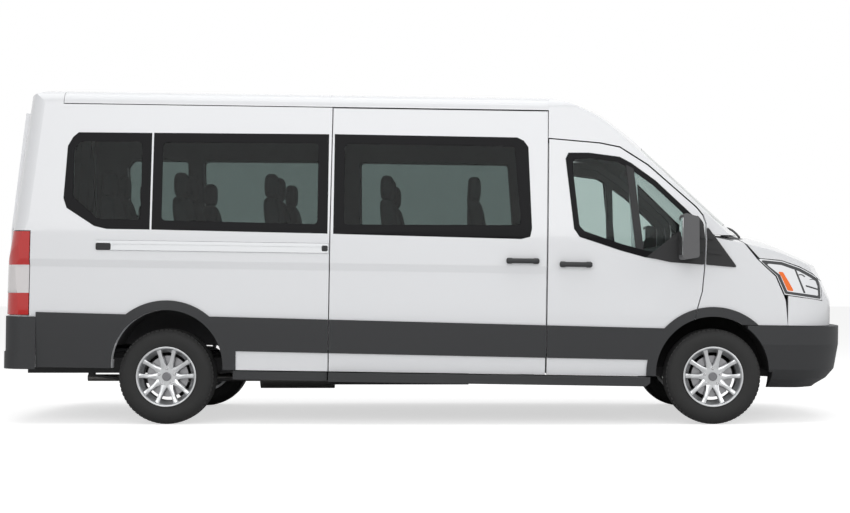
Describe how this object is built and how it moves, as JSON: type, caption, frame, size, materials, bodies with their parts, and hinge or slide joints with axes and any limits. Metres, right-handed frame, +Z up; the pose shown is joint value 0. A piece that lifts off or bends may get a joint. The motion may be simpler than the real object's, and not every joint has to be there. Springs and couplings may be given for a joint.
{
  "type": "minibus",
  "caption": "Long passenger minibus with a raised roof, tinted side windows, sliding side door, hinged cab and rear doors, and steering front wheels.",
  "frame": {"origin": "on the ground, below the centre of the bounding box", "axes": "+X forward, +Y to the vehicle's left, +Z up"},
  "size_m": [5.978, 2.472, 2.3592],
  "materials": {
    "body_paint": "smooth white paint",
    "frame_paint": "satin black underbody paint",
    "floor_mat": "ribbed dark floor covering",
    "cladding": "grained dark grey moulding",
    "tinted_glass": "dark tinted glass",
    "clear_glass": "lightly tinted glass",
    "lamp_lens": "clear polycarbonate",
    "lamp_red": "red polycarbonate",
    "interior_trim": "grained dark trim",
    "upholstery": "woven seat cloth",
    "tyre": "moulded rubber",
    "alloy": "silver lacquered casting",
    "cast_iron": "dark castings",
    "steel": "plain steel",
    "rail_metal": "anodised slide rail",
    "wiper_black": "black wiper"
  },
  "bodies": {
    "body": {"roof_panel": "body_paint", "side_panel_right": "body_paint", "side_panel_left": "body_paint", "rear_frame": "body_paint", "cab_frame": "body_paint", "front_wings": "body_paint", "front_panel": "body_paint", "front_bumper": "cladding", "grille": "cladding", "headlamps": "lamp_lens", "tail_lamps": "lamp_red", "rear_bumper": "cladding", "side_cladding": "cladding", "side_steps": "cladding", "windscreen": "clear_glass", "side_windows": "tinted_glass", "sliding_door": "body_paint", "sliding_door_glass": "tinted_glass", "door_rail": "rail_metal", "cowl_panel": "cladding", "floor_pan": "floor_mat", "wheel_liners": "cladding", "chassis_frame": "frame_paint", "rear_axle": "cast_iron", "front_suspension": "cast_iron", "engine_block": "cast_iron", "exhaust": "steel", "fuel_tank": "frame_paint", "dashboard": "interior_trim", "passenger_seats": "upholstery", "cab_seats": "upholstery", "wipers": "wiper_black"},
    "bonnet": {"bonnet": "body_paint"},
    "front_door_right": {"front_door_right": "body_paint", "front_door_glass_right": "clear_glass", "door_trim_right": "cladding", "door_mirror_right": "cladding"},
    "rear_door_right": {"rear_door_right": "body_paint", "rear_door_glass_right": "tinted_glass"},
    "knuckle_right": {"knuckle_right": "cast_iron"},
    "front_door_left": {"front_door_left": "body_paint", "front_door_glass_left": "clear_glass", "door_trim_left": "cladding", "door_mirror_left": "cladding"},
    "rear_door_left": {"rear_door_left": "body_paint", "rear_door_glass_left": "tinted_glass"},
    "knuckle_left": {"knuckle_left": "cast_iron"},
    "wheel_fr": {"tyre_fr": "tyre", "wheel_fr": "alloy"},
    "wheel_fl": {"tyre_fl": "tyre", "wheel_fl": "alloy"},
    "wheel_rr": {"tyre_rr": "tyre", "wheel_rr": "alloy"},
    "wheel_rl": {"tyre_rl": "tyre", "wheel_rl": "alloy"},
    "steering_wheel": {"steering_wheel": "interior_trim"}
  },
  "joints": [
    {"name": "front_door_right_hinge", "type": "hinge", "parent": "body", "child": "front_door_right", "pos_m": [1.89814, -0.988, 0.87194], "axis": [0.0148, 0, 0.9999], "range_deg": [0, 68]},
    {"name": "front_door_left_hinge", "type": "hinge", "parent": "body", "child": "front_door_left", "pos_m": [1.89814, 0.988, 0.87194], "axis": [-0.0148, 0, -0.9999], "range_deg": [0, 68]},
    {"name": "rear_door_right_hinge", "type": "hinge", "parent": "body", "child": "rear_door_right", "pos_m": [-2.89195, -0.866, 0.83399], "axis": [0.0148, 0, 0.9999], "range_deg": [0, 170]},
    {"name": "rear_door_left_hinge", "type": "hinge", "parent": "body", "child": "rear_door_left", "pos_m": [-2.89195, 0.866, 0.83399], "axis": [-0.0148, 0, -0.9999], "range_deg": [0, 170]},
    {"name": "bonnet_hinge", "type": "hinge", "parent": "body", "child": "bonnet", "pos_m": [2.07891, 0, 1.2593], "axis": [0, -1, 0], "range_deg": [0, 50]},
    {"name": "steer_right", "type": "hinge", "parent": "body", "child": "knuckle_right", "pos_m": [1.975, -0.734, 0.328], "axis": [0, 0, 1], "range_deg": [-33, 33]},
    {"name": "steer_left", "type": "hinge", "parent": "body", "child": "knuckle_left", "pos_m": [1.975, 0.734, 0.328], "axis": [0, 0, 1], "range_deg": [-33, 33]},
    {"name": "wheel_fr_spin", "type": "hinge", "parent": "knuckle_right", "child": "wheel_fr", "pos_m": [1.975, -0.8675, 0.328], "axis": [0, 1, 0], "continuous": true},
    {"name": "wheel_fl_spin", "type": "hinge", "parent": "knuckle_left", "child": "wheel_fl", "pos_m": [1.975, 0.8675, 0.328], "axis": [0, 1, 0], "continuous": true},
    {"name": "wheel_rr_spin", "type": "hinge", "parent": "body", "child": "wheel_rr", "pos_m": [-1.775, -0.8675, 0.328], "axis": [0, 1, 0], "continuous": true},
    {"name": "wheel_rl_spin", "type": "hinge", "parent": "body", "child": "wheel_rl", "pos_m": [-1.775, 0.8675, 0.328], "axis": [0, 1, 0], "continuous": true},
    {"name": "steering_wheel_turn", "type": "hinge", "parent": "body", "child": "steering_wheel", "pos_m": [1.49242, 0.43, 1.16299], "axis": [-0.6039, 0, 0.7971], "range_deg": [-500, 500]}
  ],
  "couplings": [
    {"joint": "steer_left", "follows": "steer_right", "ratio": 1},
    {"joint": "steering_wheel_turn", "follows": "steer_right", "ratio": 15}
  ]
}
